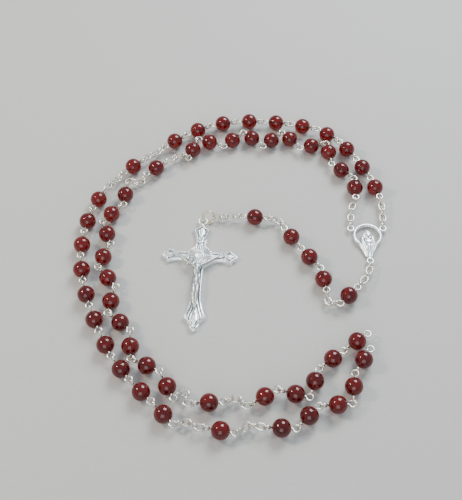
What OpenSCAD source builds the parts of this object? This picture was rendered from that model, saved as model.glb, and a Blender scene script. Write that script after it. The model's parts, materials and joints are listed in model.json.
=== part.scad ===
// Five-decade rosary, laid flat on a surface at z = 0.
// The origin is on the flat back of the centrepiece, in the middle of its ring.
// +Y runs up through the centrepiece's head. The strands leave its right and left side loops.

/* [Beads] */
// Diameter of every bead
bead_diameter = 6; // [4.5:0.1:9]
// Radial gap between a bead's bore and its pin
bead_fit = 0.05; // [0.03:0.01:0.1]
// Gap between the end of a bead and each eye of its pin
bead_end_gap = 0.1; // [0.05:0.05:0.6]

/* [Eye pins] */
// Wire of the eyes
pin_wire = 0.65; // [0.5:0.05:0.9]
// Straight wire inside the bead
pin_shank = 0.6; // [0.4:0.05:0.8]
// Outer diameter of an eye
eye_diameter = 2.85; // [2.6:0.05:4]

/* [Chain] */
// Wire of a chain link
link_wire = 0.6; // [0.4:0.05:0.7]
// Outer length of a link
link_length = 3.8; // [3.6:0.1:5]
// Outer width of a link
link_width = 2.7; // [2.6:0.05:3.4]
// Gap between two wires that hang in each other
wire_gap = 0.07; // [0.05:0.01:0.15]
// How far the chain between two beads sags
chain_sag = 0.9; // [0:0.1:1.2]

/* [Jump ring] */
// Wire of the jump ring
jump_wire = 0.5; // [0.4:0.05:0.8]
// Outer diameter of the jump ring
jump_diameter = 4.9; // [4.4:0.1:6.5]
// How far the jump ring leans up from the surface
jump_lean = 50; // [40:5:60]

/* [Centrepiece] */
// Outer diameter of the ring
ring_diameter = 10.6; // [9:0.1:16]
// Width of the ring's band
ring_band = 1.2; // [0.9:0.1:2]
// Thickness of the casting
casting_thickness = 1.9; // [1.6:0.1:3]
// Outer diameter of its three loops
casting_loop = 2.8; // [2.7:0.05:4]
// Wire of its three loops
casting_loop_wire = 0.65; // [0.5:0.05:0.9]
// Angle of the side loops above the ring's middle
side_loop_angle = 28; // [20:1:40]
// Distance from the ring's middle down to the bottom loop's middle
foot_drop = 11; // [10:0.1:16]

/* [Crucifix] */
// Length of the cross without its bail
cross_length = 44; // [38:0.5:60]
// Span of the arms
cross_span = 27; // [24:0.5:38]
// Width of the arms and of the shaft
cross_width = 4; // [3.4:0.1:5.4]
// Thickness of the cross
cross_thickness = 1.6; // [1.2:0.1:2.4]
// Outer diameter of the bail
bail_diameter = 3.6; // [3.4:0.1:5]
// Wire of the bail
bail_wire = 0.6; // [0.5:0.05:0.9]
// Radius of the sunburst behind the head
sunburst_radius = 4.2; // [3.5:0.1:5.5]
// Radius of a rivet
rivet_radius = 0.5; // [0.35:0.05:0.7]

/* [Hidden] */
$fn = 32;
halves = [1:5];
fathers = [1:2];
sections = [1:5];

// Heights of the parts above the surface
bead_height = bead_diameter / 2;
link_lift = 0.05;
loop_height = link_width / 2 + link_lift;

// Each wire's middle line
eye_radius = (eye_diameter - pin_wire) / 2;
link_radius = (link_width - link_wire) / 2;
link_reach = link_length - link_wire;
casting_radius = (casting_loop - casting_loop_wire) / 2;
jump_radius = (jump_diameter - jump_wire) / 2;
bail_radius = (bail_diameter - bail_wire) / 2;
eye_offset = bead_diameter / 2 + bead_end_gap + eye_diameter / 2;
pin_reach = 2 * (eye_offset + eye_radius);
// Two wires that hang in each other keep their middle lines this far apart
seat = max(pin_wire, link_wire, casting_loop_wire) + wire_gap;

// The centrepiece's loops, which run a little way into the casting
loop_sunk = 0.1;
side_loop_distance = ring_diameter / 2 + casting_loop / 2 - loop_sunk;
side_loop = side_loop_distance * [cos(side_loop_angle), sin(side_loop_angle)];

// The routes on the surface, as points through the middles of the loops. They are drawn for
// these two reaches, and spread out with the 27 pins and 21 links of one side.
drawn_pin_reach = 11.25;
drawn_link_reach = 3.2;
spread = (27 * pin_reach + 21 * link_reach) / (27 * drawn_pin_reach + 21 * drawn_link_reach);
right_route = [
    [6.2, 12], [4.8, 21], [0.5, 31], [-5, 41], [-12, 48.5], [-21, 52], [-31, 53.5], [-41, 54.5],
    [-51, 53.5], [-61, 50.5], [-70, 44.5], [-78, 38], [-86, 31], [-93, 23.5], [-98, 15], [-101, 5],
    [-102, -6], [-101, -16], [-98.5, -26], [-94.5, -36], [-90, -46], [-84, -55], [-77, -62.5],
    [-71, -68.5], [-67, -73], [-63, -72], [-59, -74], [-52, -74], [-46.5, -76], [-43, -72.5],
    [-39, -74], [-34, -73], [-25, -71], [-16, -67], [-9, -60], [-5, -52], [-3, -45], [-1, -35]
];
left_route = [
    [-5, 11], [-2.5, 19.5], [-6, 29.5], [-11, 37.5], [-18.5, 43], [-28, 45], [-38, 45], [-47, 45],
    [-55, 44.5], [-62, 42], [-70, 36], [-78, 29.5], [-83, 25.5], [-86.5, 22.5], [-89.5, 16.5], [-93, 8],
    [-94.5, -2], [-94.2, -12], [-92.2, -21], [-89.8, -30], [-86.3, -39], [-82, -47], [-76, -54.5],
    [-69.5, -61], [-62, -64.5], [-53, -65.5], [-44, -65.5],
    [-35, -64.5], [-26, -62], [-19, -57], [-15.5, -51.5], [-13, -45.5], [-8.5, -42.5], [-3, -41], [4, -40]
];
pendant_route = [
    [-1, -16], [-4, -21], [-8.5, -26], [-12.3, -29.7], [-15.6, -28.8], [-16.4, -25], [-15.8, -20],
    [-17.3, -16], [-20.6, -12.2], [-26, -4.2], [-27.3, -0.4], [-30, 2], [-31.6, 5.6], [-35, 6.6],
    [-38, 6.2], [-45, 7.2], [-54, 7.4], [-62, 7.5]
];
// Side steps where a strand lies slack: [first loop, steps of that loop and the next ones]
right_slack = [
    [44, [-2.4, 2.6, -2.6, 2.4]]
];
left_slack = [
    [6, [-1, 3, -3, 3.8, -3.4, 3.9, -3.4, 3.8, -2.4, 3.6]],
    [21, [1.6, 1.6, -1.2, -1.2]],
    [25, [2.6, -1.6, 3, -1.6, 3.2, -1.6, 3.2, -1.6, 2.8, -1.6]],
    [35, [1.7, 1.7, -1.6, -1.6]],
    [40, [1.4, 1.4, -1.4, -1.4]],
    [44, [3, -2.6, 3.2, -1.6]]
];
// Heading of the cross from its bail to its foot
cross_heading = -93;

// A smooth curve through the points
steps = 10;
function blend(a, b, c, d, t) =
    b + 0.5 * t * (c - a) + t * t * (a - 2.5 * b + 2 * c - 0.5 * d)
    + t * t * t * (1.5 * b - 0.5 * a - 1.5 * c + 0.5 * d);
function curve(p) = [
    for (i = [0:len(p) - 2], k = [0:steps - 1])
        blend(p[max(i - 1, 0)], p[i], p[i + 1], p[min(i + 2, len(p) - 1)], k / steps)
];
function scaled_route(start, points) = curve(concat([start], [for (p = points) p * spread]));
function unit(v) = v / norm(v);
function turned(v) = [-v[1], v[0]];
function beside(path, i, side) =
    let (k = min(max(i, 0), len(path) - 2)) path[k] + side * turned(unit(path[k + 1] - path[k]));
function first_beyond(path, i, side, from, reach) =
    i >= len(path) - 2 || norm(beside(path, i, side) - from) >= reach
        ? i
        : first_beyond(path, i + 1, side, from, reach);
function crossing(a, b, reach) =
    let (d = b - a, p = a * d, q = d * d) (-p + sqrt(max(p * p - q * (a * a - reach * reach), 0))) / q;
function walk(path, reaches, sides, from, i = 0, k = 0) =
    k >= len(reaches)
        ? [from]
        : let (
              j = first_beyond(path, i, sides[k], from, reaches[k]),
              a = beside(path, j - 1, sides[k]),
              b = beside(path, j, sides[k]),
              t = crossing(a - from, b - from, reaches[k]),
              next = from + reaches[k] * unit(a + t * (b - a) - from)
          )
          concat([from], walk(path, reaches, sides, next, j, k + 1));

// A strand is a list of pieces. Each piece runs from one flat loop's middle to the next, as
// [kind, height at its start, height at its end, radius of the loop it starts in, of the loop it ends in].
// An "upright" link or a "pin" starts upright in the flat loop before it. A "flat" link or a
// "flat pin" brings its own flat loop at its start.
function chain(count, from, to, sag = 0) =
    let (rises = ceil(count / 2))
    [
        for (i = [0:count - 1])
            let (
                done = floor((i + 1) / 2),
                next = floor(i / 2) + 1,
                level_a = from + (to - from) * done / rises - (done > 0 && done < rises ? sag : 0),
                level_b = from + (to - from) * next / rises - (next < rises ? sag : 0)
            )
            i % 2 == 0 ? ["upright", level_a, level_b] : ["flat", level_b, level_b]
    ];
function pins(count) = [for (i = [1:1:count]) ["pin", bead_height, bead_height]];
flat_pin = [["flat pin", bead_height, bead_height]];
function own_loop(kind) = kind == "flat" ? link_radius : eye_radius;
function loops(pieces, first, last) = [
    for (i = [0:len(pieces) - 1])
        let (
            before = i > 0 && pieces[i - 1][0] != "upright",
            start = pieces[i][0] == "flat" || pieces[i][0] == "flat pin"
                ? own_loop(pieces[i][0])
                : before ? own_loop(pieces[i - 1][0]) : first,
            end = pieces[i][0] != "upright"
                ? own_loop(pieces[i][0])
                : i < len(pieces) - 1 ? own_loop(pieces[i + 1][0]) : last
        )
        concat(pieces[i], [start, end])
];
function pitch(piece) =
    piece[0] == "upright" ? asin((piece[2] - piece[1]) / (link_reach - 2 * seat)) : 0;
function run(piece) =
    piece[0] == "upright" ? piece[3] + piece[4] + (link_reach - 2 * seat) * cos(pitch(piece))
    : piece[0] == "flat" ? link_reach - 2 * link_radius
    : piece[0] == "pin" ? piece[3] - seat + pin_reach - eye_radius
    : pin_reach - 2 * eye_radius;
function slack_at(i, slack) =
    let (found = [for (s = slack) if (i >= s[0] && i < s[0] + len(s[1])) s[1][i - s[0]]])
    len(found) == 0 ? 0 : found[0];
// A strand with its places: [pieces, loop middles on the surface]
function strand(pieces, start, points, slack = []) =
    [
        pieces,
        walk(
            scaled_route(start, points),
            [for (p = pieces) run(p)],
            [for (i = [1:len(pieces)]) slack_at(i, slack)],
            start
        )
    ];

father_chain = chain(4, bead_height, bead_height, chain_sag);
loop_pieces = loops(
    concat(
        chain(5, loop_height, bead_height),
        flat_pin, pins(9), father_chain, pins(1), father_chain,
        pins(10), father_chain, pins(1), father_chain, pins(5)
    ),
    casting_radius, eye_radius
);
right_strand = strand(loop_pieces, side_loop, right_route, right_slack);
left_strand = strand(loop_pieces, [-side_loop[0], side_loop[1]], left_route, left_slack);

jump_height = jump_radius * sin(jump_lean) + jump_wire / 2;
pendant_pieces = loops(
    concat(
        chain(5, loop_height, bead_height),
        flat_pin, chain(3, bead_height, bead_height, chain_sag),
        flat_pin, pins(2), chain(3, bead_height, bead_height, chain_sag),
        flat_pin, chain(4, bead_height, jump_height)
    ),
    casting_radius, eye_radius
);
pendant_strand = strand(pendant_pieces, [0, -foot_drop], pendant_route);

// Where each group of pieces starts and ends in a strand: [first, last]
chain_spans = [[0, 4], [15, 18], [20, 23], [34, 37], [39, 42]];
hail_spans = [[5, 9], [10, 14], [24, 28], [29, 33], [43, 47]];
father_spans = [[19, 19], [38, 38]];
pendant_chain_spans = [[0, 4], [6, 8], [12, 14], [16, 19]];
pendant_pin_spans = [[5, 5], [9, 9], [10, 10], [11, 11], [15, 15]];

// Start of a piece's own wire and its headings
function heading(s, i) = let (d = s[1][i + 1] - s[1][i]) atan2(d[1], d[0]);
function along(s, i) = unit(s[1][i + 1] - s[1][i]);
function lifted(v, z) = [v[0], v[1], z];
function middle(s, i) =
    let (piece = s[0][i], a = s[1][i], b = s[1][i + 1], h = along(s, i))
    piece[0] == "pin"
        ? lifted(a + (piece[3] - seat + pin_reach / 2) * h, bead_height)
        : piece[0] == "upright"
            ? lifted((a + b + (piece[3] - piece[4]) * h) / 2, (piece[1] + piece[2]) / 2)
            : lifted((a + b) / 2, piece[1]);

// The jump ring leans in the last link, with a wider gap for its lean. The bail lies level with
// its hook on the low side of the jump ring, halfway out from the bail's own middle.
last = len(pendant_pieces) - 1;
ring_way = along(pendant_strand, last);
lean_gap = 0.25;
jump_seat = jump_wire / 2 + link_wire / 2 + lean_gap;
ring_middle = lifted(
    pendant_strand[1][last + 1] + (link_radius - jump_seat + jump_radius) * ring_way, jump_height);
bail_rise = 0.5;
bail_height = cross_thickness / 2 + bail_rise;
hook_angle = asin((jump_height - bail_height) / (jump_radius * sin(jump_lean)));
cross_way = [cos(cross_heading), sin(cross_heading)];
hook = ring_middle
    + jump_radius * lifted(
        cos(hook_angle) * ring_way + sin(hook_angle) * cos(jump_lean) * turned(ring_way),
        -sin(hook_angle) * sin(jump_lean));
bail_middle = lifted([hook[0], hook[1]] + bail_radius / 2 * cross_way, bail_height);

module wire_ring(radius, wire) {
    rotate_extrude() translate([radius, 0]) circle(d = wire);
}

module link() {
    straight = link_reach - 2 * link_radius;
    for (turn = [0, 180]) rotate(turn) {
        translate([straight / 2, 0, 0])
            rotate(-90) rotate_extrude(angle = 180) translate([link_radius, 0]) circle(d = link_wire);
        translate([-straight / 2, link_radius, 0])
            rotate([0, 90, 0]) cylinder(d = link_wire, h = straight);
    }
}

module eye_pin(flat_start) {
    translate([-eye_offset, 0, 0]) rotate([flat_start ? 0 : 90, 0, 0]) wire_ring(eye_radius, pin_wire);
    translate([eye_offset, 0, 0]) wire_ring(eye_radius, pin_wire);
    rotate([0, 90, 0]) cylinder(d = pin_shank, h = 2 * (eye_offset - eye_radius), center = true);
}

module bead() {
    rotate([0, 90, 0]) rotate_extrude() intersection() {
        circle(d = bead_diameter);
        translate([pin_shank / 2 + bead_fit, -bead_diameter]) square(2 * bead_diameter);
    }
}

module at_piece(s, i) {
    translate(middle(s, i)) rotate([0, -pitch(s[0][i]), heading(s, i)]) children();
}

module chain_section(s, span) {
    color("silver") for (i = [span[0]:span[1]])
        at_piece(s, i) rotate([s[0][i][0] == "upright" ? 90 : 0, 0, 0]) link();
}

module pin_group(s, span) {
    color("silver") for (i = [span[0]:span[1]])
        at_piece(s, i) eye_pin(s[0][i][0] == "flat pin");
}

module bead_group(s, span) {
    color("darkred") for (i = [span[0]:span[1]]) at_piece(s, i) bead();
}

module jump_ring() {
    color("wheat") translate(ring_middle)
        rotate(atan2(ring_way[1], ring_way[0])) rotate([-jump_lean, 0, 0])
            wire_ring(jump_radius, jump_wire);
}

// Centrepiece: a ring, two sides that run down to a foot, three loops and a veiled bust
foot_half = 0.9;
side_half = ring_diameter * 0.36;
foot_top = -ring_diameter * 0.32;
foot_end = -foot_drop + casting_loop / 2 - loop_sunk;
sides_thickness = casting_thickness * 0.8;
veil_radius = 2.15;
veil_middle = 0.3;
bust_height = casting_thickness + 0.7;
folds_radius = 1.9;
folds_height = 1.6;

module casting_sides() {
    inner = side_half - ring_band;
    linear_extrude(sides_thickness) polygon([
        [-side_half, foot_top], [-foot_half, foot_end], [foot_half, foot_end], [side_half, foot_top],
        [inner, foot_top - 0.4], [0, foot_top - 1.6], [-inner, foot_top - 0.4]
    ]);
}

module bust() {
    intersection() {
        union() {
            translate([0, veil_middle, bust_height - veil_radius]) sphere(r = veil_radius);
            hull() {
                translate([0, veil_middle, 0]) cylinder(r = veil_radius - 0.1, h = folds_height);
                translate([0, foot_top - 0.8, 0]) cylinder(r = veil_radius - 0.5, h = folds_height);
            }
            hull() {
                translate([0, foot_top - 0.6, 0]) cylinder(r = folds_radius, h = folds_height);
                translate([0, foot_end + 0.9, 0]) cylinder(r = foot_half - 0.1, h = folds_height - 0.4);
            }
        }
        translate([-ring_diameter / 2, -2 * ring_diameter, 0])
            cube([ring_diameter, 4 * ring_diameter, 2 * casting_thickness]);
    }
}

module centrepiece() {
    color("silver") {
        rotate_extrude() translate([ring_diameter / 2 - ring_band, 0]) square([ring_band, casting_thickness]);
        for (side = [-1, 1])
            translate([side * side_loop[0], side_loop[1], loop_height])
                wire_ring(casting_radius, casting_loop_wire);
        translate([0, -foot_drop, loop_height]) wire_ring(casting_radius, casting_loop_wire);
        casting_sides();
        bust();
    }
}

// Crucifix: its own frame has the bail's middle at the origin and the foot along -Y
bail_sunk = 0.2;
cross_top = bail_sunk - bail_diameter / 2;
head_length = cross_length * 0.31;
foot_length = cross_length - head_length;
crossing_drop = cross_top - head_length;
half_width = cross_width / 2;
arm_length = cross_span / 2;
sunburst_rise = 0.2;

// Half outline of one limb along +X: a straight neck, a flare to a sharp corner, and a round lobe
function limb(length, flare_start, flare_end, flare_half, lobe_half) = concat(
    [for (t = [0:0.2:1]) [
        flare_start + (flare_end - flare_start) * t, half_width + (flare_half - half_width) * t * t]],
    [[flare_end + (length - flare_end) * 0.35, lobe_half]],
    [for (a = [60:-30:0]) [length - lobe_half + lobe_half * cos(a), lobe_half * sin(a)]]
);
function mirrored(points) = [for (i = [len(points) - 1:-1:0]) [points[i][0], -points[i][1]]];

module limb_shape(length, flare_start, flare_end, flare_half, lobe_half) {
    half = limb(length, flare_start, flare_end, flare_half, lobe_half);
    polygon(concat([[0, half_width]], half, mirrored(half), [[0, -half_width]]));
}

module cross_outline() {
    for (turn = [0, 180])
        rotate(turn) limb_shape(arm_length, arm_length * 0.5, arm_length - 2.2, 3, 1.4);
    rotate(90) limb_shape(head_length, head_length - 6.5, head_length - 2.2, 3.5, 1.2);
    rotate(-90) limb_shape(foot_length, foot_length - 13, foot_length - 5.6, 3.9, 1.6);
    rotate(45) square(sunburst_radius * sqrt(2), center = true);
}

// Its children stand on the surface, with the middle of the crossing at the origin
module at_crossing(height = 0) {
    translate(bail_middle) rotate(cross_heading + 90)
        translate([0, crossing_drop, height - bail_height]) children();
}

module crucifix_cross() {
    color("silver") {
        at_crossing() {
            linear_extrude(cross_thickness) cross_outline();
            cylinder(r = sunburst_radius, h = cross_thickness + sunburst_rise);
        }
        translate(bail_middle) wire_ring(bail_radius, bail_wire);
    }
}

// Corpus: its flat back is just clear of the sunburst, and its arms reach up to the arms of the cross
corpus_gap = 0.05;
corpus_floor = cross_thickness + sunburst_rise + corpus_gap;
lean = -0.6;
hands = [-0.6 * arm_length, 0.54 * arm_length];
shoulder_drop = 3.9;
shoulder_half = 1.7;
hip_drop = foot_length * 0.37;
feet_drop = foot_length * 0.74;
head_radius = 1.25;
hand_radius = 0.5;
foot_radius = 0.6;

module limb_between(a, b, start_radius, end_radius) {
    hull() {
        translate(a) sphere(r = start_radius, $fn = 24);
        translate(b) sphere(r = end_radius, $fn = 24);
    }
}

module crucifix_corpus() {
    color("silver") at_crossing(corpus_floor) intersection() {
        union() {
            translate([-2.1, -2.3, head_radius]) sphere(r = head_radius);
            for (side = [0, 1])
                limb_between(
                    [lean + (2 * side - 1) * shoulder_half, -shoulder_drop, 0.9], [hands[side], 0, 0.35],
                    0.7, hand_radius);
            limb_between([lean, -shoulder_drop - 0.9, 0.8], [lean, -hip_drop, 0.7], 1.7, 1.6);
            for (side = [-1, 1])
                limb_between(
                    [lean + side * 0.6, -hip_drop, 0.7], [side * 0.25, -feet_drop, 0.5], 1.1, foot_radius);
        }
        translate([-arm_length, -foot_length, 0]) cube([cross_span, cross_length, 5]);
    }
}

// The rivets stand just past the hands and the feet
rivet_gap = 0.2;
rivet_height = 0.45;

module crucifix_rivets() {
    reach = rivet_radius + rivet_gap;
    color("darkgray") at_crossing(cross_thickness) {
        translate([hands[0] - hand_radius - reach, 0, 0]) cylinder(r = rivet_radius, h = rivet_height);
        translate([hands[1] + hand_radius + reach, 0, 0]) cylinder(r = rivet_radius, h = rivet_height);
        translate([0, -feet_drop - foot_radius - reach, 0]) cylinder(r = rivet_radius, h = rivet_height);
    }
}

function strand_of(side) = side == "right" ? right_strand : left_strand;

centrepiece();
crucifix_cross();
crucifix_corpus();
crucifix_rivets();
jump_ring();
for (side = ["right", "left"]) {
    for (i = sections) chain_section(strand_of(side), chain_spans[i - 1]);
    for (i = halves) pin_group(strand_of(side), hail_spans[i - 1]);
    for (i = halves) bead_group(strand_of(side), hail_spans[i - 1]);
    for (i = fathers) pin_group(strand_of(side), father_spans[i - 1]);
    for (i = fathers) bead_group(strand_of(side), father_spans[i - 1]);
}
for (i = [1:4]) chain_section(pendant_strand, pendant_chain_spans[i - 1]);
for (i = [1:5]) pin_group(pendant_strand, pendant_pin_spans[i - 1]);
for (i = [1:5]) bead_group(pendant_strand, pendant_pin_spans[i - 1]);
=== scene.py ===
import json
import math
import bmesh
import bpy
import numpy as np
from mathutils import Matrix, Vector

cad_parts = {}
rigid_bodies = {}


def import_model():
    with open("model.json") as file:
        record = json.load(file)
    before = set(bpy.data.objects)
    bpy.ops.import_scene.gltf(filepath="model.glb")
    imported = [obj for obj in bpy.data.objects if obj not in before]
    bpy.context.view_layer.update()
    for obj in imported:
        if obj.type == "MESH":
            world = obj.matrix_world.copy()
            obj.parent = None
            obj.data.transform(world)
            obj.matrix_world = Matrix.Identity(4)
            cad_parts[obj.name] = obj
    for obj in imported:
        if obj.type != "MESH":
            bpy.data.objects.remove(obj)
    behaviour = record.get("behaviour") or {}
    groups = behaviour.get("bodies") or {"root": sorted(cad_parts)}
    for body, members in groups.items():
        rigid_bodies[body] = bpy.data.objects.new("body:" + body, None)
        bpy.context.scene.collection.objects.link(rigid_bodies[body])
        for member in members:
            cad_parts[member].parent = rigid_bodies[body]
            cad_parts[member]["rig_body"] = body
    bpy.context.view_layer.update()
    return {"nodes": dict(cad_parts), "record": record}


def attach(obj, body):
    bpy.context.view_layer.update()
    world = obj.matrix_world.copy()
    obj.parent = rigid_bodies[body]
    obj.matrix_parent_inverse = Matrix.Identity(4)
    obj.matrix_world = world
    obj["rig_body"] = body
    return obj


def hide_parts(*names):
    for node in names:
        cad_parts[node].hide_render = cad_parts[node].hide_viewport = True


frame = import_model()
nodes = frame["nodes"]
mm = 0.001
print("frame loaded:", len(nodes), "nodes")

# camera, floor and lights
view = {"place": (-0.0490, -0.1753, 0.2432), "elevation": 55.1, "roll": 0.24, "lens": 59.83}
cameraData = bpy.data.cameras.new("camera")
cameraData.lens = view["lens"]
cameraData.sensor_width = 36
cameraData.clip_start = 0.01
cameraData.clip_end = 10
camera = bpy.data.objects.new("camera", cameraData)
camera.matrix_world = (
    Matrix.Translation(view["place"])
    @ Matrix.Rotation(math.radians(90 - view["elevation"]), 4, "X")
    @ Matrix.Rotation(math.radians(view["roll"]), 4, "Z")
)
bpy.context.scene.collection.objects.link(camera)
bpy.context.scene.camera = camera

lamps = {
    "key": {"place": (0.16, 0.36, 0.44), "size": 0.30, "power": 4.4, "colour": (0.95, 0.98, 1.0)},
    "warm": {"place": (-0.40, 0.04, 0.34), "size": 0.08, "power": 1.3, "colour": (1.0, 0.84, 0.64)},
    "front": {"place": (-0.10, -0.50, 0.36), "size": 0.40, "power": 1.3, "colour": (1.0, 1.0, 1.0)},
}
for name, lamp in lamps.items():
    data = bpy.data.lights.new(name, "AREA")
    data.size, data.energy, data.color = lamp["size"], lamp["power"], lamp["colour"]
    light = bpy.data.objects.new(name, data)
    light.location = lamp["place"]
    light.rotation_mode = "QUATERNION"
    light.rotation_quaternion = (Vector((-0.04, -0.01, 0)) - light.location).to_track_quat("-Z", "Y")
    bpy.context.scene.collection.objects.link(light)
world = bpy.data.worlds.new("studio")
world.use_nodes = True
world.node_tree.nodes["Background"].inputs["Color"].default_value = (0.80, 0.89, 0.95, 1)
world.node_tree.nodes["Background"].inputs["Strength"].default_value = 0.72
bpy.context.scene.world = world


class Value:
    # one output of a node, so that + - and * add Math nodes
    def __init__(self, graph, output):
        self.graph, self.output = graph, output

    def maths(self, operation, first, second):
        return self.graph.node("ShaderNodeMath", {"operation": operation}, {0: first, 1: second})

    def __add__(self, other):
        return self.maths("ADD", self, other)

    def __sub__(self, other):
        return self.maths("SUBTRACT", self, other)

    def __rsub__(self, other):
        return self.maths("SUBTRACT", other, self)

    def __mul__(self, other):
        return self.maths("MULTIPLY", self, other)

    __radd__, __rmul__ = __add__, __mul__


class Graph:
    def __init__(self, tree):
        self.tree = tree

    def node(self, kind, settings=None, inputs=None, output=0):
        made = self.tree.nodes.new(kind)
        for key, value in (settings or {}).items():
            if key == "stops":
                ramp = made.color_ramp
                while len(ramp.elements) < len(value):
                    ramp.elements.new(0.5)
                for element, (at, colour) in zip(ramp.elements, value):
                    element.position, element.color = at, colour
            else:
                setattr(made, key, value)
        for key, value in (inputs or {}).items():
            if isinstance(value, Value):
                self.tree.links.new(value.output, made.inputs[key])
            else:
                made.inputs[key].default_value = value
        return Value(self, made.outputs[output])

    def mix(self, share, first, second):
        colours = {"data_type": "RGBA"}
        return self.node("ShaderNodeMix", colours, {0: share, 6: first, 7: second}, 2)

    def noise(self, scale, detail=3.0, stretch=None):
        place = self.node("ShaderNodeTexCoord", output="Object")
        if stretch:
            place = self.node("ShaderNodeMapping", None, {"Vector": place, "Scale": stretch})
        sizes = {"Vector": place, "Scale": scale, "Detail": detail}
        return self.node("ShaderNodeTexNoise", None, sizes)

    def range(self, value, low, high, fromLow=0.3, fromHigh=0.7):
        limits = {
            "Value": value, "From Min": fromLow, "From Max": fromHigh, "To Min": low, "To Max": high,
        }
        return self.node("ShaderNodeMapRange", {"clamp": True}, limits)

    def attribute(self, name):
        return self.node("ShaderNodeAttribute", {"attribute_name": name}, output="Fac")


def newMaterial(name, constants, build):
    material = bpy.data.materials.new(name)
    material.use_nodes = True
    graph = Graph(material.node_tree)
    shader = material.node_tree.nodes["Principled BSDF"]
    for key, value in constants.items():
        shader.inputs[key].default_value = value
    for key, value in build(graph).items():
        material.node_tree.links.new(value.output, shader.inputs[key])
    return material


def bump(graph, height, strength, distance):
    levels = {"Strength": strength, "Distance": distance, "Height": height}
    return graph.node("ShaderNodeBump", None, levels)


# dark red glass: deeper and brighter beads, faint clouds inside, fingerprints on the gloss
glass = {
    "coat": 0.1, "coatRough": 0.03, "rippleScale": 500, "ripple": 0.04, "rippleDepth": 0.0004,
    "deep": (0.105, 0.0010, 0.003, 1), "bright": (0.27, 0.006, 0.004, 1),
    "cloudScale": 260, "smudgeScale": 900, "through": 0.70, "ior": 1.45,
}


def glassNodes(graph):
    clouds = graph.range(graph.noise(glass["cloudScale"], 1), 0, 0.5)
    colour = graph.mix(graph.attribute("tone") * 0.5 + clouds, glass["deep"], glass["bright"])
    smudges = graph.noise(glass["smudgeScale"], 2)
    return {
        "Base Color": colour,
        "Roughness": graph.range(smudges, 0.02, 0.10, 0.45, 0.75),
        "Normal": bump(
            graph, graph.noise(glass["rippleScale"], 1), glass["ripple"], glass["rippleDepth"]),
    }


redGlass = newMaterial(
    "redGlass",
    {
        "Transmission Weight": glass["through"], "IOR": glass["ior"],
        "Coat Weight": glass["coat"], "Coat Roughness": glass["coatRough"],
    },
    glassNodes,
)


# drawn steel wire, dulled and browned by handling
wire = {
    "clean": (0.78, 0.76, 0.70, 1), "brown": (0.40, 0.30, 0.18, 1),
    "brassClean": (0.74, 0.62, 0.40, 1), "brassBrown": (0.38, 0.26, 0.12, 1),
    "stainScale": 420, "scratchScale": 2600, "dull": 0.20, "stained": 0.42,
}


def wireNodes(clean, brown):
    def build(graph):
        stains = graph.range(graph.noise(wire["stainScale"], 5), 0, 0.75, 0.45, 0.72)
        stains = stains * (graph.attribute("tone") * 0.8 + 0.4)
        scratches = graph.noise(wire["scratchScale"], 2, (1, 1, 0.2))
        return {
            "Base Color": graph.mix(stains, clean, brown),
            "Roughness": graph.range(stains, wire["dull"], wire["stained"], 0, 1)
            + (scratches - 0.5) * 0.12,
            "Normal": bump(graph, scratches, 0.25, 0.00003),
        }
    return build


steelWire = newMaterial("steelWire", {"Metallic": 1.0}, wireNodes(wire["clean"], wire["brown"]))
brassWire = newMaterial("brassWire", {"Metallic": 1.0}, wireNodes(wire["brassClean"], wire["brassBrown"]))

# silvered castings: tarnish dark in their hollows (on the figure deeper: painted contact shade round its
# outline), rubbed bright on their ridges, with a fine sandy skin
cast = {
    "dark": (0.10, 0.125, 0.14, 1), "skinScale": 2200, "cloudScale": 330,
    "brightRough": 0.34, "darkRough": 0.60, "skin": 0.10, "skinDepth": 0.00005,
}
plateSilver = {
    "bright": (0.96, 0.98, 0.99, 1), "plain": (0.82, 0.87, 0.89, 1), "cleanTo": 0.12, "blackAt": 0.48,
}
# figure: lower thresholds darken more of its hollows, which adds painted contact shade round the figure's
# outline to the tarnish
figureSilver = {
    "bright": (0.92, 0.92, 0.86, 1), "plain": (0.44, 0.48, 0.48, 1), "cleanTo": -0.04, "blackAt": 0.36,
}


def castNodes(finish):
    def build(graph):
        hollow = graph.attribute("hollow")
        clouds = graph.noise(cast["cloudScale"], 5)
        skin = graph.noise(cast["skinScale"], 3)
        # tarnish in the hollows; with the figure's thresholds this also paints contact shade round the
        # figure
        tarnishAndShade = graph.range(hollow + (clouds - 0.5) * 0.22, 0, 1, finish["cleanTo"], finish["blackAt"])
        rubbed = graph.range(0 - hollow + (clouds - 0.5) * 0.2, 0, 1, 0.02, 0.45)
        colour = graph.mix(tarnishAndShade, graph.mix(rubbed, finish["plain"], finish["bright"]), cast["dark"])
        rough = graph.range(tarnishAndShade, cast["brightRough"], cast["darkRough"], 0, 1)
        return {
            "Base Color": colour,
            "Roughness": rough + (skin - 0.5) * 0.14,
            "Metallic": 1 - tarnishAndShade * 0.45,
            "Normal": bump(graph, skin + clouds * 0.6, cast["skin"], cast["skinDepth"]),
        }
    return build


plateMetal = newMaterial("plateMetal", {}, castNodes(plateSilver))
figureMetal = newMaterial("figureMetal", {}, castNodes(figureSilver))
print("materials ready")


# pale floor
def floorNodes(graph):
    grain = graph.noise(700, 4)
    return {
        "Base Color": graph.mix(grain, (0.43, 0.43, 0.42, 1), (0.48, 0.48, 0.47, 1)),
        "Normal": bump(graph, grain, 0.05, 0.0002),
    }


bpy.ops.mesh.primitive_plane_add(size=4, location=(0, 0, -0.00003))
floor = bpy.context.object
floor.name = "floor"
floor.data.materials.append(newMaterial("paleFloor", {"Roughness": 0.7}, floorNodes))


def newObject(name, mesh):
    made = bpy.data.objects.new(name, mesh)
    bpy.context.scene.collection.objects.link(made)
    return made


def evaluated(source, name):
    # the object with its modifiers applied, as a new plain object
    graph = bpy.context.evaluated_depsgraph_get()
    mesh = bpy.data.meshes.new_from_object(
        source.evaluated_get(graph), preserve_all_data_layers=True, depsgraph=graph)
    mesh.name = name
    return newObject(name, mesh)


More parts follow.
